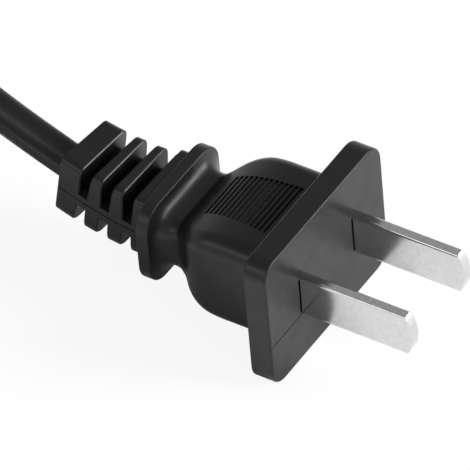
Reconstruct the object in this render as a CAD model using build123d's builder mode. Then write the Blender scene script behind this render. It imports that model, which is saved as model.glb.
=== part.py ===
"""Moulded two-blade mains plug with a slotted strain relief on a flat twin cord.

The origin is the middle of the plug's front face. +X runs out along the blades,
+Y to the plug's far side and +Z up. The plug stands on its flange's lower edge,
and the cord's spare length lies behind it on the same floor. Millimetres.
"""

import os
from math import acos, cos, pi, radians, sin, sqrt, tan

from build123d import *

# Front flange
flange_width = 27.7
flange_height = 20.5
flange_thickness = 3.35
flange_near_corner = 2.4
flange_far_corner = 3.2
flange_bottom_corner = 2.7
flange_edge = 0.3

# Body, neck and collar sit a little towards -Y, and neck and collar a little lower
rear_shift = -0.3
rear_drop = 0.2

# Body
body_width = 18.9
body_height = 14.2
body_edge = 2.4
shoulder_plan = 5.6
shoulder_side = 13.0

# Neck between body and collar
neck_middle = 18.44
neck_width = 13.0
neck_height = 7.6
neck_edge = 2.0
hollow_plan = 2.9
hollow_side = 1.2
neck_stations = 30

# Collar ahead of the strain relief
collar_front = 21.0
collar_thickness = 1.8
collar_width = 17.2
collar_height = 12.5
collar_corner = 3.4
collar_edge = 0.2
collar_lip = 0.25

# Strain relief, bent up and towards +Y with the cord
relief_shift = -0.5
relief_length = 14.1
relief_front_width = 10.9
relief_front_height = 10.5
relief_rear_width = 9.5
relief_rear_height = 10.73
relief_rear_low = 0.64
relief_near_corner = 1.0
relief_far_corner = 1.2
relief_bottom_corner = 2.0
relief_bend = 13.0
relief_bend_tilt = 57.5
relief_stations = 6
relief_step = 0.3
relief_step_length = 1.3
slot_count = 3
slot_width = 1.25
slot_draft = 2.9
slot_heel_draft = 6.0
slot_lean = 5.0
slot_pitch = 3.42
slot_first = 3.4
slot_core_width = 6.4
slot_core_height = 4.6
slot_edge = 0.15
spine_height = 2.0
spine_drop = 0.57
cord_drop = 1.22

# Fine lines where the mould's halves met
parting_depth = 0.1
parting_width = 0.14

# Grip grooves above and below
groove_count = 14
groove_pitch = 0.707
groove_radius = 0.27
groove_sink = 0.08
groove_front_length = 9.3
groove_rear_length = 7.7
groove_first = 5.75

# Blades
blade_width = 6.35
blade_thickness = 1.5
blade_spacing = 12.7
blade_shift = 0.65
blade_length = 16.4
blade_tip_radius = 5.9
blade_edge = 0.4
blade_depth = 3.8
tail_width = 2.4
tail_length = 1.2
barrel_length = 3.2
barrel_radius = 1.3
root_gap = 0.2
root_gap_depth = 0.6

# Carrier that holds the blades inside the body
carrier_width = 15.8
carrier_height = 9.4
carrier_depth = 2.6
carrier_cover = 1.2

# Cord, two round cores side by side with a web between them
cord_width = 5.25
cord_thickness = 2.5
cord_web = 1.9
core_radius = 1.1
core_straight = 1.9
conductor_radius = 0.6
conductor_grip = 2.6

# Cord's way from the strain relief to its hank
route_first = 5.0
route_bends = [(-51.35, 3.78, 1.0), (-61.0, 7.6, 0.1), (-71.0, 10.9, -1.4), (-81.0, 12.4, -2.375)]
route_last = 10.0
cord_stations = 17
twist_from = 0.4

# Hank of the spare length, cord on edge in two layers
hank_straight = 69.0
hank_turns = 3
hank_pitch = 2.6
hank_inner = 9.2
hank_lead_gap = 0.3
tie_width = 8.0
tie_thickness = 0.8
tie_place = 0.5

# Cord's bare far end
tail_run = 20.0
tail_stations = 5
leg_radius = 1.15
leg_bend = 25.0
leg_angles = {"left": -5.0, "right": 14.0}
leg_length = 8.0
end_length = 8.0

os.makedirs("parts", exist_ok=True)

# Places worked out from the sizes above
floor = -flange_height / 2
lobe_spacing = cord_width - cord_thickness
carrier_front = -flange_thickness - carrier_cover
blade_heel = carrier_front - blade_depth
barrel_front = blade_heel - tail_length
barrel_rear = barrel_front - barrel_length
relief_front = -collar_front - collar_thickness
bend_radius = relief_length / radians(relief_bend)
core_bend_end = relief_front + core_straight
blade_places = {"left": blade_shift - blade_spacing / 2, "right": blade_shift + blade_spacing / 2}
core_places = {"left": -lobe_spacing / 2, "right": lobe_spacing / 2}
hank_front = route_bends[-1][0] - route_last
hank_outer = hank_inner + hank_turns * hank_pitch
hank_middle = route_bends[-1][1] - hank_outer + hank_pitch / 2
hank_height = 2 * cord_width
tail_side = hank_middle - hank_outer + hank_pitch / 2


def relief_plane(distance):
    """Cross-section plane of the bent strain relief, this far behind the collar."""
    turn = distance / bend_radius
    across, up = cos(radians(relief_bend_tilt)), sin(radians(relief_bend_tilt))
    sag = bend_radius * (1 - cos(turn))
    origin = (relief_front - bend_radius * sin(turn), relief_shift + across * sag, up * sag)
    x_dir = (across * sin(turn), across**2 * cos(turn) + up**2, across * up * (cos(turn) - 1))
    return Plane(origin, x_dir=x_dir, z_dir=(cos(turn), -across * sin(turn), -up * sin(turn)))


def shoulder_start(body, neck, shoulder, hollow):
    """Distance behind the front face at which the body's straight side ends."""
    turn = acos(1 - (body - neck) / (shoulder + hollow))
    return neck_middle - (shoulder + hollow) * sin(turn)


def half_size(behind, body, neck, collar, shoulder, hollow):
    """Half width or half height of the moulding this far behind the front face."""
    turn = acos(1 - (body - neck) / (shoulder + hollow))
    start = shoulder_start(body, neck, shoulder, hollow)
    if behind <= start:
        return body
    if behind <= start + shoulder * sin(turn):
        return body - shoulder + sqrt(shoulder**2 - (behind - start) ** 2)
    if behind <= neck_middle:
        return neck + hollow - sqrt(hollow**2 - (neck_middle - behind) ** 2)
    flare = ((collar_front - neck_middle) ** 2 + (collar - neck) ** 2) / (2 * (collar - neck))
    return neck + flare - sqrt(max(flare**2 - (behind - neck_middle) ** 2, 0))


def rear_middle(behind):
    """Place in y and z of the moulding's middle this far behind the front face."""
    return rear_shift, -rear_drop * max(0, behind - prism_end) / (collar_front - prism_end)


def half_width(behind):
    flared = collar_width / 2 - collar_lip
    return half_size(behind, body_width / 2, neck_width / 2, flared, shoulder_plan, hollow_plan)


def half_height(behind):
    flared = collar_height / 2 - collar_lip
    return half_size(behind, body_height / 2, neck_height / 2, flared, shoulder_side, hollow_side)


def corner_radius(behind):
    """Radius of the moulding's long edges between body, neck and collar."""
    if behind <= neck_middle:
        return body_edge + (neck_edge - body_edge) * (behind - prism_end) / (neck_middle - prism_end)
    return neck_edge + (collar_corner - neck_edge) * (behind - neck_middle) / (collar_front - neck_middle)


def relief_size(share):
    """Width, height and lowering of the strain relief at this share of its length."""
    width = relief_front_width + share * (relief_rear_width - relief_front_width)
    height = relief_front_height + share * (relief_rear_height - relief_front_height)
    return width, height, share * relief_rear_low


def round_corners(outline, bottom, near, far):
    """Rounds a rectangle's two bottom corners, its top near corner and its top far corner."""
    fillet(outline.vertices().group_by(Axis.Y)[0], bottom)
    fillet(outline.vertices().group_by(Axis.Y)[-1].sort_by(Axis.X)[0], near)
    fillet(outline.vertices().group_by(Axis.Y)[-1].sort_by(Axis.X)[-1], far)


def cord_section():
    """Flat twin cord across: two round lobes joined by a web."""
    with Locations((-lobe_spacing / 2, 0), (lobe_spacing / 2, 0)):
        Circle(cord_thickness / 2)
    Rectangle(lobe_spacing, cord_web)


# Blades, each one strip with a crimp barrel on its tail
blades = {}
for side, place in blade_places.items():
    straight_end = blade_length - blade_tip_radius + sqrt(blade_tip_radius**2 - (blade_width / 2) ** 2)
    with BuildPart() as blade:
        with BuildSketch(Plane.XZ.offset(-place)):
            with BuildLine():
                lower = Line((straight_end, -blade_width / 2), (blade_heel, -blade_width / 2))
                heel = Line(lower @ 1, (blade_heel, blade_width / 2))
                upper = Line(heel @ 1, (straight_end, blade_width / 2))
                ThreePointArc(upper @ 1, (blade_length, 0), lower @ 0)
            make_face()
        extrude(amount=blade_thickness / 2, both=True)
        long_edges = blade.edges().filter_by(Axis.X).filter_by(lambda e: e.length > blade_length)
        fillet(long_edges, blade_edge)
        with Locations(((blade_heel + barrel_front) / 2, place, 0)):
            Box(tail_length, blade_thickness, tail_width)
        with BuildSketch(Plane.YZ.offset(barrel_front)):
            with Locations((place, 0)):
                Circle(barrel_radius)
        extrude(amount=-barrel_length)
        with BuildSketch(Plane.YZ.offset(barrel_rear)):
            with Locations((place, 0)):
                Circle(conductor_radius)
        extrude(amount=conductor_grip, mode=Mode.SUBTRACT)
    blade.part.label = side + "_blade"
    export_step(blade.part, "parts/" + side + "_blade.step")
    blades[side] = blade.part

# Stripped conductors in the barrels
for side, place in blade_places.items():
    with BuildPart() as conductor:
        with BuildSketch(Plane.YZ.offset(barrel_rear)):
            with Locations((place, 0)):
                Circle(conductor_radius)
        extrude(amount=conductor_grip)
    conductor.part.label = side + "_conductor"
    export_step(conductor.part, "parts/" + side + "_conductor.step")

# Insulated cores from the barrels through neck and strain relief
cores = {}
relief_end = relief_plane(relief_length)
for side, place in blade_places.items():
    leave = Vector(barrel_rear, place, 0)
    settle = Vector(core_bend_end, relief_shift + core_places[side], -cord_drop)
    enter = Vector(relief_front, settle.Y, settle.Z)
    tip = relief_end.from_local_coords((core_places[side], -cord_drop, 0))
    with BuildPart() as core:
        with BuildLine() as core_path:
            first = TangentArc(leave, (leave + settle) / 2, tangent=(-1, 0, 0))
            second = TangentArc(first @ 1, settle, tangent=first % 1)
            level = Line(settle, enter)
            TangentArc(enter, tip, tangent=(-1, 0, 0))
        with BuildSketch(Plane.YZ.offset(barrel_rear)):
            with Locations((place, 0)):
                Circle(core_radius)
        sweep()
    core.part.label = side + "_core"
    export_step(core.part, "parts/" + side + "_core.step")
    cores[side] = core.part
    print(side, "core bend radius", round(first.radius, 2), "volume", round(core.part.volume, 1))

# Carrier, a hard block with a slot for each blade
with BuildPart() as carrier:
    with BuildSketch(Plane.YZ.offset(carrier_front)):
        with Locations((blade_shift, 0)):
            RectangleRounded(carrier_width, carrier_height, blade_thickness)
    extrude(amount=-carrier_depth)
    carrier_block = carrier.part
    for side in blades:
        add(blades[side], mode=Mode.SUBTRACT)
carrier.part.label = "blade_carrier"
export_step(carrier.part, "parts/blade_carrier.step")

# Collar, a plate with softened rims
prism_end = min(
    shoulder_start(body_width / 2, neck_width / 2, shoulder_plan, hollow_plan),
    shoulder_start(body_height / 2, neck_height / 2, shoulder_side, hollow_side),
)
with BuildPart() as collar:
    with BuildSketch(Plane.YZ.offset(-collar_front)):
        with Locations(rear_middle(collar_front)):
            RectangleRounded(collar_width, collar_height, collar_corner)
    extrude(amount=-collar_thickness)
    fillet(collar.edges().filter_by(Plane.YZ), collar_edge)

# Slots round the strain relief, opening outwards from a core and from a spine on each side
with BuildPart() as slots:
    for i in range(slot_count):
        level = relief_plane(slot_first + i * slot_pitch)
        ahead = level.z_dir.rotate(Axis((0, 0, 0), level.x_dir), slot_lean)
        with BuildSketch(Plane(level.origin, x_dir=ahead, z_dir=-level.x_dir)):
            for side in (-1, 1):
                root = side * spine_height / 2 - spine_drop
                rim = side * relief_front_height - spine_drop
                rear_draft = slot_draft if side > 0 else slot_heel_draft
                front = slot_width / 2 + abs(rim - root) * tan(radians(slot_draft))
                rear = slot_width / 2 + abs(rim - root) * tan(radians(rear_draft))
                corners = [(-slot_width / 2, root), (slot_width / 2, root), (front, rim), (-rear, rim)]
                Polygon(*corners[::side], align=None)
        extrude(amount=relief_front_width, both=True)
        with BuildSketch(level):
            with Locations((0, -cord_drop)):
                Rectangle(slot_core_width, slot_core_height)
        extrude(amount=slot_pitch / 2, both=True, mode=Mode.SUBTRACT)

# Overmould: flange, body, neck, collar and strain relief in one piece
with BuildPart() as plug:
    with BuildSketch(Plane.YZ) as outline:
        Rectangle(flange_width, flange_height)
        round_corners(outline, flange_bottom_corner, flange_near_corner, flange_far_corner)
    extrude(amount=-flange_thickness)
    fillet(plug.edges().filter_by(Plane.YZ), flange_edge)
    with BuildSketch(Plane.YZ.offset(-flange_thickness)):
        with Locations(rear_middle(flange_thickness)):
            RectangleRounded(body_width, body_height, body_edge)
    extrude(amount=flange_thickness - prism_end)
    # Shoulder, neck and flare, through stations that close up towards the collar
    for i in range(neck_stations):
        share = 1 - (1 - i / (neck_stations - 1)) ** 1.5
        behind = prism_end + (collar_front - prism_end) * share
        with BuildSketch(Plane.YZ.offset(-behind)):
            with Locations(rear_middle(behind)):
                RectangleRounded(2 * half_width(behind), 2 * half_height(behind), corner_radius(behind))
    loft()
    add(collar.part)
    # Strain relief on a low step, narrowing towards the cord
    with BuildSketch(relief_plane(0)) as ring:
        Rectangle(relief_front_width + 2 * relief_step, relief_front_height + 2 * relief_step)
        round_corners(ring, relief_bottom_corner, relief_near_corner, relief_far_corner)
    extrude(amount=-relief_step_length)
    for i in range(relief_stations):
        share = i / (relief_stations - 1)
        width, height, low = relief_size(share)
        with BuildSketch(relief_plane(share * relief_length)) as ring:
            with Locations((0, -low)):
                Rectangle(width, height)
            round_corners(ring, relief_bottom_corner, relief_near_corner, relief_far_corner)
    loft()
    # Parting lines along the strain relief and across the face
    for side in (-1, 1):
        for share in (relief_step_length / relief_length, 0.5, 1):
            with BuildSketch(relief_plane(share * relief_length)):
                with Locations((side * relief_size(share)[0] / 2, -spine_drop)):
                    Rectangle(2 * parting_depth, parting_width)
        loft(mode=Mode.SUBTRACT)
    with BuildSketch(Plane.YZ):
        with Locations((blade_places["left"], -blade_width / 2)):
            Rectangle(flange_width, parting_width, align=(Align.MAX, Align.MIN))
    extrude(amount=-parting_depth, mode=Mode.SUBTRACT)
    add(slots.part, mode=Mode.SUBTRACT)
    rims = plug.edges(Select.LAST).filter_by(lambda edge: abs((edge % 0.5).X) < 0.5 and not edge.is_interior)
    chamfer(rims, slot_edge)
    # Grip grooves, the rear ones lying on the shoulder
    for i in range(groove_count):
        behind = groove_first + i * groove_pitch
        length = groove_front_length + (groove_rear_length - groove_front_length) * i / (groove_count - 1)
        across, middle = rear_middle(behind)
        for side in (-1, 1):
            level = middle + side * (half_height(behind) - groove_sink)
            with Locations(Location((-behind, across, level), (90, 0, 0))):
                Cylinder(groove_radius, length, mode=Mode.SUBTRACT)
    # Narrow moats beside the blades in the face
    for place in blade_places.values():
        with BuildSketch(Plane.YZ):
            with Locations((place, 0)):
                Rectangle(blade_thickness + 2 * root_gap, blade_width - 2 * blade_edge)
        extrude(amount=-root_gap_depth, mode=Mode.SUBTRACT)
    # Room for the pieces moulded in
    add(carrier_block, mode=Mode.SUBTRACT)
    for side in blades:
        add(blades[side], mode=Mode.SUBTRACT)
        with BuildSketch(Plane.YZ.offset(barrel_rear)):
            with Locations((blade_places[side], 0)):
                Circle(conductor_radius)
        extrude(amount=conductor_grip, mode=Mode.SUBTRACT)
        add(cores[side], mode=Mode.SUBTRACT)
plug.part.label = "plug_body"
export_step(plug.part, "parts/plug_body.step")

# Cord from the strain relief, making a quarter twist onto edge before its hank
route_start = relief_end.from_local_coords((0, -cord_drop, 0))
route_turn = route_start - relief_end.z_dir * route_first
route_end = Vector(*route_bends[-1]) + Vector(-route_last, 0, 0)
route = [route_start, route_turn] + [Vector(*point) for point in route_bends] + [route_end]
radii = []
for before, corner, after in zip(route, route[1:], route[2:]):
    turn = radians((corner - before).get_angle(after - corner))
    shorter = min((corner - before).length, (after - corner).length)
    radii.append(0.45 * shorter / tan(turn / 2))
print("cord bend radii", [round(radius, 1) for radius in radii])
with BuildLine() as cord_path:
    way = FilletPolyline(*route, radius=radii)
with BuildPart() as cord:
    for i in range(cord_stations):
        share = i / (cord_stations - 1)
        ahead = way % share
        level = ahead.cross(Vector(0, 0, 1)).normalized()
        ease = max(0, (share - twist_from) / (1 - twist_from))
        turn = pi / 2 * ease**2 * (3 - 2 * ease)
        x_dir = level * cos(turn) + level.cross(ahead) * sin(turn)
        with BuildSketch(Plane(way @ share, x_dir=x_dir, z_dir=-ahead)) as cross:
            cord_section()
    loft()
cord_length = sum(edge.length for edge in cord_path.edges())
print("cord volume", round(cord.part.volume, 1), "section times length", round(cross.sketch.area * cord_length, 1))
cord.part.label = "cord"
export_step(cord.part, "parts/cord.step")

# Tie round one side of the hank, flush underneath
tie_x = hank_front - tie_place * hank_straight
tie_y = hank_middle + (hank_inner + hank_outer) / 2
with BuildPart() as tie:
    with BuildSketch(Plane.YZ.offset(tie_x)):
        with Locations((tie_y, floor + (hank_height + tie_thickness) / 2)):
            RectangleRounded(
                hank_outer - hank_inner + 2 * tie_thickness, hank_height + tie_thickness, 2 * tie_thickness
            )
        with Locations((tie_y, floor + (hank_height + tie_thickness) / 2)):
            RectangleRounded(hank_outer - hank_inner, hank_height - tie_thickness, tie_thickness, mode=Mode.SUBTRACT)
    extrude(amount=tie_width / 2, both=True)
tie.part.label = "hank_tie"
export_step(tie.part, "parts/hank_tie.step")

# Hank as one closed ring with the steps where its outermost turns start and end
with BuildPart() as hank:
    with BuildSketch(Plane.XY.offset(floor)):
        with Locations((hank_front - hank_straight / 2, hank_middle)):
            Rectangle(hank_straight, 2 * hank_outer)
        with Locations((hank_front - hank_straight, hank_middle)):
            Circle(hank_outer)
        with Locations((hank_front, hank_middle)):
            Circle(hank_outer - hank_pitch - hank_lead_gap)
        with Locations((hank_front - hank_straight / 2, hank_middle)):
            SlotCenterToCenter(hank_straight, 2 * hank_inner, mode=Mode.SUBTRACT)
    extrude(amount=hank_height)
    add(tie.part, mode=Mode.SUBTRACT)
hank.part.label = "cord_hank"
export_step(hank.part, "parts/cord_hank.step")

# Far end, turned flat again and lying on the floor
leg_start = hank_front + tail_run
leg_level = floor + cord_thickness / 2
with BuildPart() as tail:
    for i in range(tail_stations):
        share = i / (tail_stations - 1)
        turn = (1 - share) * pi / 2
        level = leg_level + sin(turn) * lobe_spacing / 2
        origin = (hank_front + share * tail_run, tail_side, level)
        with BuildSketch(Plane(origin, x_dir=(0, cos(turn), sin(turn)), z_dir=(1, 0, 0))):
            cord_section()
    loft()
tail.part.label = "cord_tail"
export_step(tail.part, "parts/cord_tail.step")

# Split legs and their tinned ends
for side, angle in leg_angles.items():
    start = (leg_start, tail_side + core_places[side], leg_level)
    with BuildPart() as leg:
        with BuildLine() as leg_path:
            spread = JernArc(start[:2], (1, 0), leg_bend, angle)
            leg_line = Line(spread @ 1, (spread @ 1) + (spread % 1) * leg_length)
        leg_tip = leg_line @ 1
        leg_heading = leg_line % 1
        with BuildSketch(Plane.YZ.offset(leg_start)):
            with Locations((start[1], 0)):
                Circle(leg_radius)
        sweep()
    leg_part = leg.part.moved(Location((0, 0, leg_level)))
    leg_part.label = side + "_leg"
    export_step(leg_part, "parts/" + side + "_leg.step")
    with BuildPart() as end:
        with BuildSketch(Plane((leg_tip.X, leg_tip.Y, leg_level), z_dir=leg_heading)):
            Circle(conductor_radius)
        extrude(amount=end_length)
        fillet(end.edges().sort_by(Axis.X)[-1], conductor_radius / 2)
    end.part.label = side + "_end"
    export_step(end.part, "parts/" + side + "_end.step")
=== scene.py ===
"""Looks of a black moulded mains plug on a flat twin cord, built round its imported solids. Metres."""

import math

import bpy
from mathutils import Matrix, Vector


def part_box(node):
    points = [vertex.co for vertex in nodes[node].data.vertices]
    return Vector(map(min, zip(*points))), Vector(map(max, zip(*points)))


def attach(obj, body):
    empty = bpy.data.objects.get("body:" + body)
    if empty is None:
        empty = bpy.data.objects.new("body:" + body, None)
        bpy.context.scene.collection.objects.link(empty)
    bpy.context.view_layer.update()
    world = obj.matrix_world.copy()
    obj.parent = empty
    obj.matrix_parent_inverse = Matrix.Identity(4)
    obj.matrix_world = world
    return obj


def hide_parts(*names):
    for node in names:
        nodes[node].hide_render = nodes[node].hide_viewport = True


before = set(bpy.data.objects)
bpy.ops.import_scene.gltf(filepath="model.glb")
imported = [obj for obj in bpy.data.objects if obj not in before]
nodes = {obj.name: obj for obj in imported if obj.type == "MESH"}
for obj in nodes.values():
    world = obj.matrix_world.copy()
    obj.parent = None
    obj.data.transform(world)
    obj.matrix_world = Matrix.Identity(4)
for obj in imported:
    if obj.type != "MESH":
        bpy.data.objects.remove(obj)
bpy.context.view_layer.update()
mm = 0.001
floor_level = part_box("plug_body")[0].z

# Camera, as the photograph was taken
camera_place = Vector((543.26, -780.34, 898.12)) * mm
camera_azimuth = 35.52
camera_elevation = 43.16
camera_roll = -5.25
camera_lens = 797.2
camera_sensor = 36.0
camera_near = 0.05
camera_far = 20.0

# Stage: whitening is the share of plain white that a kind of ray sees
floor_reach = 6.0
paper_grey = 0.84
seen_whitening = 0.9
mirrored_whitening = 0.03
world_whitening = 1.0
world_light = 0.36
world_horizon = 0.7
horizon_tilt = 0.2
horizon_fade = (0.3, 0.6)
lamp_distance = 1.2

# Moulded plastic: the scale of each texture, here and below, is per metre
plastic_ior = 1.43
flow_stretch = (0.35, 1.0, 1.0)
flow_scale = 260
gloss_scale = 420
swell_scale = 900
swell_depth = 0.02 * mm
swell_strength = 0.25
grain_scale = 9000
grain_depth = 0.006 * mm

# Nickel plate
tint_scale = 1400
line_stretch = (0.03, 1.0, 1.0)
line_scale = 9000
line_depth = 0.003 * mm
line_strength = 0.2
dent_scale = 700
dent_depth = 0.02 * mm
dent_strength = 0.15

# Copper strands
strand_stretch = (0.1, 1.0, 1.0)
strand_scale = 3000
strand_depth = 0.03 * mm
strand_strength = 0.6

# Flat twin cord
cord_width = 5.25 * mm
cord_thickness = 2.5 * mm
cord_web = 1.9 * mm
lobe_steps = 18
hollow_steps = 8
spline_order = 3
spline_steps = 8

# Cord's way from the strain relief to its hank, in millimetres
exit_point = (-37.01, 0.37, 0.145)
route_points = [
    exit_point,
    (-41.88, 0.974, 1.094),
    (-51.35, 3.78, 1.0),
    (-61.0, 7.6, 0.1),
    (-71.0, 10.9, -1.4),
    (-81.0, 12.4, -2.375),
]
twist_start = 22.0 * mm
twist_end = 54.7 * mm

# Hank: lanes are the distances of the cord's middle from the hank's middle line, in millimetres
hank_front = -91.0
hank_back = -160.0
hank_middle = -3.3
upper = -2.375
lower = -7.625
lanes = (10.5, 13.1, 15.7)
turn_steps = 6
run_shares = (0.0, 0.25, 0.5, 0.75, 1.0)

# Steps by which the cord eases from one layer of the hank to the other, in millimetres
entry_ease = 1.2
climb_ease = 2.6
dive_ease = 2.5

# Tail of the cord, from the hank to where its legs part, in millimetres
tail_shares = (0.2, 0.4, 0.6, 0.8, 1.0)
tail_end = -71.0
tail_level = -9.0


# Shader helpers


def new_material(name):
    """A material, its node tree and its shader."""
    material = bpy.data.materials.new(name)
    material.use_nodes = True
    tree = material.node_tree
    return material, tree, tree.nodes["Principled BSDF"]


def position(tree, stretch=(1, 1, 1)):
    """Object coordinates, stretched along the axes."""
    where = tree.nodes.new("ShaderNodeTexCoord")
    mapping = tree.nodes.new("ShaderNodeMapping")
    mapping.inputs["Scale"].default_value = stretch
    tree.links.new(where.outputs["Object"], mapping.inputs["Vector"])
    return mapping.outputs["Vector"]


def noise(tree, place, per_metre, detail=3.0, roughness=0.55):
    """Cloudy texture between 0 and 1."""
    texture = tree.nodes.new("ShaderNodeTexNoise")
    texture.inputs["Scale"].default_value = per_metre
    texture.inputs["Detail"].default_value = detail
    texture.inputs["Roughness"].default_value = roughness
    tree.links.new(place, texture.inputs["Vector"])
    return texture.outputs["Fac"]


def ramp(tree, value, low, high, at=(0.3, 0.7)):
    """Colours or greys between two ends of a value."""
    node = tree.nodes.new("ShaderNodeValToRGB")
    for element, colour, place in zip(node.color_ramp.elements, (low, high), at):
        element.color = (*colour, 1.0)
        element.position = place
    tree.links.new(value, node.inputs["Fac"])
    return node.outputs["Color"]


def grey(level):
    """Colour without a tint."""
    return (level, level, level)


def share_of(tree, value, share, more=None):
    """A value times a share, plus another value."""
    node = tree.nodes.new("ShaderNodeMath")
    node.operation = "MULTIPLY_ADD"
    node.inputs[1].default_value = share
    node.inputs[2].default_value = 0.0
    tree.links.new(value, node.inputs[0])
    if more:
        tree.links.new(more, node.inputs[2])
    return node.outputs[0]


def bump(tree, shader, height, distance, strength, under=None):
    """Gives a shader relief, over another relief if there is one."""
    node = tree.nodes.new("ShaderNodeBump")
    node.inputs["Distance"].default_value = distance
    node.inputs["Strength"].default_value = strength
    tree.links.new(height, node.inputs["Height"])
    if under:
        tree.links.new(under, node.inputs["Normal"])
    tree.links.new(node.outputs["Normal"], shader.inputs["Normal"])
    return node.outputs["Normal"]


def whiten(tree, plain, white, seen, output):
    """Mixes white in by kind of ray: much to the eye, a little in reflections and through clear pieces."""
    rays = tree.nodes.new("ShaderNodeLightPath")
    share = share_of(tree, rays.outputs["Is Camera Ray"], seen)
    share = share_of(tree, rays.outputs["Is Glossy Ray"], mirrored_whitening, share)
    share = share_of(tree, rays.outputs["Is Transmission Ray"], mirrored_whitening, share)
    mix = tree.nodes.new("ShaderNodeMixShader")
    tree.links.new(share, mix.inputs["Fac"])
    tree.links.new(plain.outputs[0], mix.inputs[1])
    tree.links.new(white.outputs[0], mix.inputs[2])
    tree.links.new(mix.outputs[0], output.inputs["Surface"])


# Materials


def moulded_plastic(name, dark, light, roughness, grain):
    """Plastic with a fine moulded grain, faint flow marks and patches of gloss."""
    material, tree, shader = new_material(name)
    place = position(tree)
    flow = position(tree, flow_stretch)
    colour = ramp(tree, noise(tree, flow, flow_scale), dark, light)
    tree.links.new(colour, shader.inputs["Base Color"])
    gloss = noise(tree, flow, gloss_scale, detail=4.0)
    tree.links.new(ramp(tree, gloss, *map(grey, roughness)), shader.inputs["Roughness"])
    shader.inputs["IOR"].default_value = plastic_ior
    waves = noise(tree, place, swell_scale, detail=2.0)
    swell = bump(tree, shader, waves, swell_depth, swell_strength)
    bump(tree, shader, noise(tree, place, grain_scale, detail=2.0), grain_depth, grain, swell)
    return material


def nickel_plate(dark, light, roughness):
    """Satin nickel with fine lines along the blade and faint dents from its stamping."""
    material, tree, shader = new_material("nickel_plate")
    place = position(tree)
    shader.inputs["Metallic"].default_value = 1.0
    tint = ramp(tree, noise(tree, place, tint_scale, detail=4.0), dark, light)
    tree.links.new(tint, shader.inputs["Base Color"])
    lines = noise(tree, position(tree, line_stretch), line_scale, detail=4.0)
    tree.links.new(ramp(tree, lines, *map(grey, roughness)), shader.inputs["Roughness"])
    dents = bump(tree, shader, noise(tree, place, dent_scale), dent_depth, dent_strength)
    bump(tree, shader, lines, line_depth, line_strength, dents)
    return material


def metal(name, dark, light, roughness):
    """Bare or tinned copper with strand marks."""
    material, tree, shader = new_material(name)
    strands = noise(tree, position(tree, strand_stretch), strand_scale)
    shader.inputs["Metallic"].default_value = 1.0
    tree.links.new(ramp(tree, strands, dark, light), shader.inputs["Base Color"])
    tree.links.new(ramp(tree, strands, *map(grey, roughness)), shader.inputs["Roughness"])
    bump(tree, shader, strands, strand_depth, strand_strength)
    return material


def floor_paper():
    """White paper that stays near white to the eye, and still takes a shadow."""
    material = bpy.data.materials.new("floor_paper")
    material.use_nodes = True
    tree = material.node_tree
    tree.nodes.clear()
    output = tree.nodes.new("ShaderNodeOutputMaterial")
    paper = tree.nodes.new("ShaderNodeBsdfDiffuse")
    paper.inputs["Color"].default_value = (*grey(paper_grey), 1)
    white = tree.nodes.new("ShaderNodeEmission")
    white.inputs["Strength"].default_value = 1.0
    whiten(tree, paper, white, seen_whitening, output)
    return material


def dress(material, *names):
    """Gives CAD nodes their finish."""
    for name in names:
        nodes[name].data.materials.clear()
        nodes[name].data.materials.append(material)


# Stage


def make_camera():
    """Camera at the photograph's place, turned about, tipped down and rolled."""
    data = bpy.data.cameras.new("camera")
    data.lens = camera_lens
    data.sensor_width = camera_sensor
    data.clip_start = camera_near
    data.clip_end = camera_far
    camera = bpy.data.objects.new("camera", data)
    around = Matrix.Rotation(math.radians(camera_azimuth), 4, "Z")
    down = Matrix.Rotation(math.radians(90 - camera_elevation), 4, "X")
    roll = Matrix.Rotation(math.radians(camera_roll), 4, "Z")
    camera.matrix_world = Matrix.Translation(camera_place) @ around @ down @ roll
    bpy.context.scene.collection.objects.link(camera)
    bpy.context.scene.camera = camera


def make_world():
    """A pale horizon, higher on the near side, under a dim ceiling. To the eye all of it is white."""
    world = bpy.data.worlds.new("studio")
    world.use_nodes = True
    bpy.context.scene.world = world
    tree = world.node_tree
    background = tree.nodes["Background"]
    where = tree.nodes.new("ShaderNodeTexCoord")
    rise = tree.nodes.new("ShaderNodeVectorMath")
    rise.operation = "DOT_PRODUCT"
    rise.inputs[1].default_value = (0.0, horizon_tilt, 1.0)
    tree.links.new(where.outputs["Generated"], rise.inputs[0])
    sky = ramp(tree, rise.outputs["Value"], grey(world_horizon), grey(world_light), horizon_fade)
    tree.links.new(sky, background.inputs["Color"])
    white = tree.nodes.new("ShaderNodeBackground")
    white.inputs["Color"].default_value = (1, 1, 1, 1)
    whiten(tree, background, white, world_whitening, tree.nodes["World Output"])


def make_floor():
    """Wide sheet of paper under the plug."""
    mesh = bpy.data.meshes.new("floor")
    low, high = -floor_reach, floor_reach
    corners = [(low, low), (high, low), (high, high), (low, high)]
    mesh.from_pydata([(x, y, floor_level) for x, y in corners], [], [(0, 1, 2, 3)])
    mesh.materials.append(floor_paper())
    sheet = bpy.data.objects.new("floor", mesh)
    bpy.context.scene.collection.objects.link(sheet)


def make_softbox(name, towards, size, watts, mirrored):
    """Lamp that faces the plug. It shows in reflections only, or lights everything but them."""
    lamp = bpy.data.lights.new(name, "AREA")
    lamp.shape = "RECTANGLE"
    lamp.size, lamp.size_y = size
    lamp.energy = watts
    place = Vector(towards).normalized() * lamp_distance
    facing = (-place).to_track_quat("-Z", "Y").to_matrix().to_4x4()
    softbox = bpy.data.objects.new(name, lamp)
    softbox.matrix_world = Matrix.Translation(place) @ facing
    softbox.visible_glossy = mirrored
    softbox.visible_diffuse = not mirrored
    bpy.context.scene.collection.objects.link(softbox)


# Cord


def turn_points(centre_x, start, lane, level):
    """Half a turn of the hank about one end, pushed out so that the smooth line keeps to its lane."""
    step = math.pi / turn_steps
    reach = lane / math.cos(step / 2)
    points = []
    for i in range(turn_steps):
        angle = start + (i + 0.5) * step
        x = centre_x + reach * math.cos(angle)
        points.append((x, hank_middle + reach * math.sin(angle), level))
    return points


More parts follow.
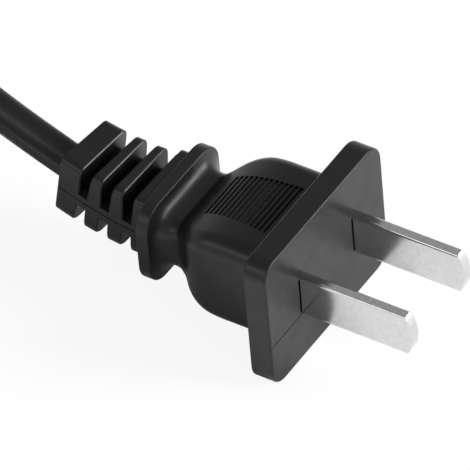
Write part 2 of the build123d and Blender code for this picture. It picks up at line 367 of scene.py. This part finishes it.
def run_points(side, start_x, end_x, stations):
    """One straight side of the hank. Each station has its lane and its level."""
    points = []
    for share, (lane, level) in zip(run_shares, stations):
        points.append((start_x + share * (end_x - start_x), hank_middle + side * lane, level))
    return points


def hank_points():
    """The whole hank: in from outside on top, down in the middle, and out again below."""
    inner, middle, outer = lanes
    stations = len(run_shares)
    sink = [upper, upper - entry_ease, lower + entry_ease, lower, lower]
    far_side = [
        [(outer, level) for level in sink],
        [(middle, upper)] * stations,
        [(inner, upper)] * stations,
        [(inner, lower)] * stations,
        [(middle, lower)] * stations,
    ]
    near_side = [
        [(outer, lower), (outer, lower + climb_ease), (outer, upper), (outer, upper), (middle, upper)],
        [(middle, upper), (middle, upper), (middle, upper), (middle, upper), (inner, upper)],
        [(inner, upper), (inner, upper), (inner, upper), (inner, upper - dive_ease), (inner, lower)],
        [(inner, lower), (inner, lower), (middle, lower), (middle, lower), (middle, lower)],
        [(middle, lower), (middle, lower), (outer, lower), (outer, lower), (outer, lower)],
    ]
    points = []
    for number, (away, back) in enumerate(zip(far_side, near_side)):
        points += run_points(1, hank_front, hank_back, away)
        points += turn_points(hank_back, math.pi / 2, *away[-1])
        points += run_points(-1, hank_back, hank_front, back)
        if number < len(near_side) - 1:
            points += turn_points(hank_front, -math.pi / 2, *back[-1])
    return points


def tail_points():
    """Last stretch, which leaves the hank and comes down to lie flat."""
    tail_y = hank_middle - lanes[-1]
    points = []
    for share in tail_shares:
        level = tail_level + (lower - tail_level) * math.cos(share * math.pi / 2)
        points.append((hank_front + share * (tail_end - hank_front), tail_y, level))
    return points


def smooth_line(points):
    """Points along the smooth spline that the route's points pull into shape."""
    curve = bpy.data.curves.new("route", "CURVE")
    curve.dimensions = "3D"
    curve.resolution_u = spline_steps
    spline = curve.splines.new("NURBS")
    spline.points.add(len(points) - 1)
    for spot, point in zip(spline.points, points):
        spot.co = (*(Vector(point) * mm), 1.0)
    spline.order_u = spline_order
    spline.use_endpoint_u = True
    carrier = bpy.data.objects.new("route", curve)
    mesh = bpy.data.meshes.new_from_object(carrier)
    line = [vertex.co.copy() for vertex in mesh.vertices]
    bpy.data.meshes.remove(mesh)
    bpy.data.objects.remove(carrier)
    bpy.data.curves.remove(curve)
    return line


def figure_eight():
    """Section of the cord: two round lobes, with a soft hollow on each side of the web."""
    lobe = cord_thickness / 2
    web = cord_web / 2
    middle = (cord_width - cord_thickness) / 2
    hollow = (middle**2 + web**2 - lobe**2) / (2 * (lobe - web))
    rise = web + hollow
    touch = math.atan2(rise, middle)
    arcs = [
        (middle, 0.0, lobe, touch - math.pi, math.pi - touch, lobe_steps),
        (0.0, rise, hollow, -touch, touch - math.pi, hollow_steps),
        (-middle, 0.0, lobe, touch, 2 * math.pi - touch, lobe_steps),
        (0.0, -rise, hollow, math.pi - touch, touch, hollow_steps),
    ]
    section = []
    for x, y, radius, first, last, steps in arcs:
        for i in range(steps):
            angle = first + i * (last - first) / steps
            section.append((x + radius * math.cos(angle), y + radius * math.sin(angle)))
    return section


def cord_vertices(line, section):
    """The section at each point of the line, with a quarter turn before the hank and one on the tail."""
    along = [0.0]
    for before, after in zip(line, line[1:]):
        along.append(along[-1] + (after - before).length)
    untwist = along[-1] - (tail_end - hank_front) * mm
    vertices = []
    for i, spot in enumerate(line):
        ahead = (line[min(i + 1, len(line) - 1)] - line[max(i - 1, 0)]).normalized()
        level = ahead.cross(Vector((0, 0, 1))).normalized()
        rise = level.cross(ahead)
        ease = min(1.0, max(0.0, (along[i] - twist_start) / (twist_end - twist_start)))
        turn = math.pi / 2 * ease * ease * (3 - 2 * ease)
        turn += math.pi / 2 * max(0.0, (along[i] - untwist) / (along[-1] - untwist))
        across = level * math.cos(turn) + rise * math.sin(turn)
        up = across.cross(ahead)
        vertices += [spot + across * x + up * y for x, y in section]
    return vertices


def cord_mesh(line):
    """Smooth skin along the line, with a flat face at each end."""
    section = figure_eight()
    vertices = cord_vertices(line, section)
    count = len(section)
    faces = []
    for start in range(0, len(vertices) - count, count):
        for j in range(count):
            k = (j + 1) % count
            faces.append((start + j, start + k, start + count + k, start + count + j))
    faces.append(tuple(range(count)))
    faces.append(tuple(reversed(range(len(vertices) - count, len(vertices)))))
    mesh = bpy.data.meshes.new("flat_cord")
    mesh.from_pydata(vertices, [], faces)
    for face in mesh.polygons:
        face.use_smooth = len(face.vertices) == 4
    return mesh


def make_cord(material):
    """The whole cord, in place of the solids that hold its room."""
    line = smooth_line(route_points + hank_points() + tail_points())
    mesh = cord_mesh(line)
    mesh.materials.append(material)
    cord = bpy.data.objects.new("flat_cord", mesh)
    bpy.context.scene.collection.objects.link(cord)
    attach(cord, "root")
    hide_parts("cord", "cord_hank", "cord_tail")


# Scene

make_camera()
make_world()
make_floor()
make_softbox("key_softbox", towards=(0.8, 0.33, 0.45), size=(0.45, 0.45), watts=27.0, mirrored=False)
make_softbox("strip_light", towards=(0.88, 0.38, 0.28), size=(1.1, 0.5), watts=14.0, mirrored=True)
make_softbox("edge_light", towards=(-0.42, -0.72, 0.5), size=(1.2, 0.25), watts=1.5, mirrored=True)

body_plastic = moulded_plastic("body_plastic", grey(0.004), grey(0.006), roughness=(0.28, 0.38), grain=0.25)
cord_plastic = moulded_plastic("cord_plastic", grey(0.005), grey(0.008), roughness=(0.34, 0.44), grain=0.2)
tie_plastic = moulded_plastic("tie_plastic", grey(0.006), grey(0.009), roughness=(0.3, 0.4), grain=0.2)
carrier_plastic = moulded_plastic(
    "carrier_plastic", (0.60, 0.56, 0.48), (0.68, 0.64, 0.56), roughness=(0.5, 0.6), grain=0.3
)
copper = metal("copper", (0.62, 0.33, 0.2), (0.78, 0.47, 0.3), roughness=(0.25, 0.45))
tinned = metal("tinned_copper", grey(0.6), grey(0.78), roughness=(0.25, 0.45))
nickel = nickel_plate((0.61, 0.61, 0.605), (0.71, 0.71, 0.705), roughness=(0.12, 0.2))

dress(body_plastic, "plug_body")
dress(nickel, "left_blade", "right_blade")
dress(cord_plastic, "left_core", "right_core", "left_leg", "right_leg")
dress(tie_plastic, "hank_tie")
dress(carrier_plastic, "blade_carrier")
dress(copper, "left_conductor", "right_conductor")
dress(tinned, "left_end", "right_end")
make_cord(cord_plastic)

bpy.context.scene.view_settings.view_transform = "Standard"
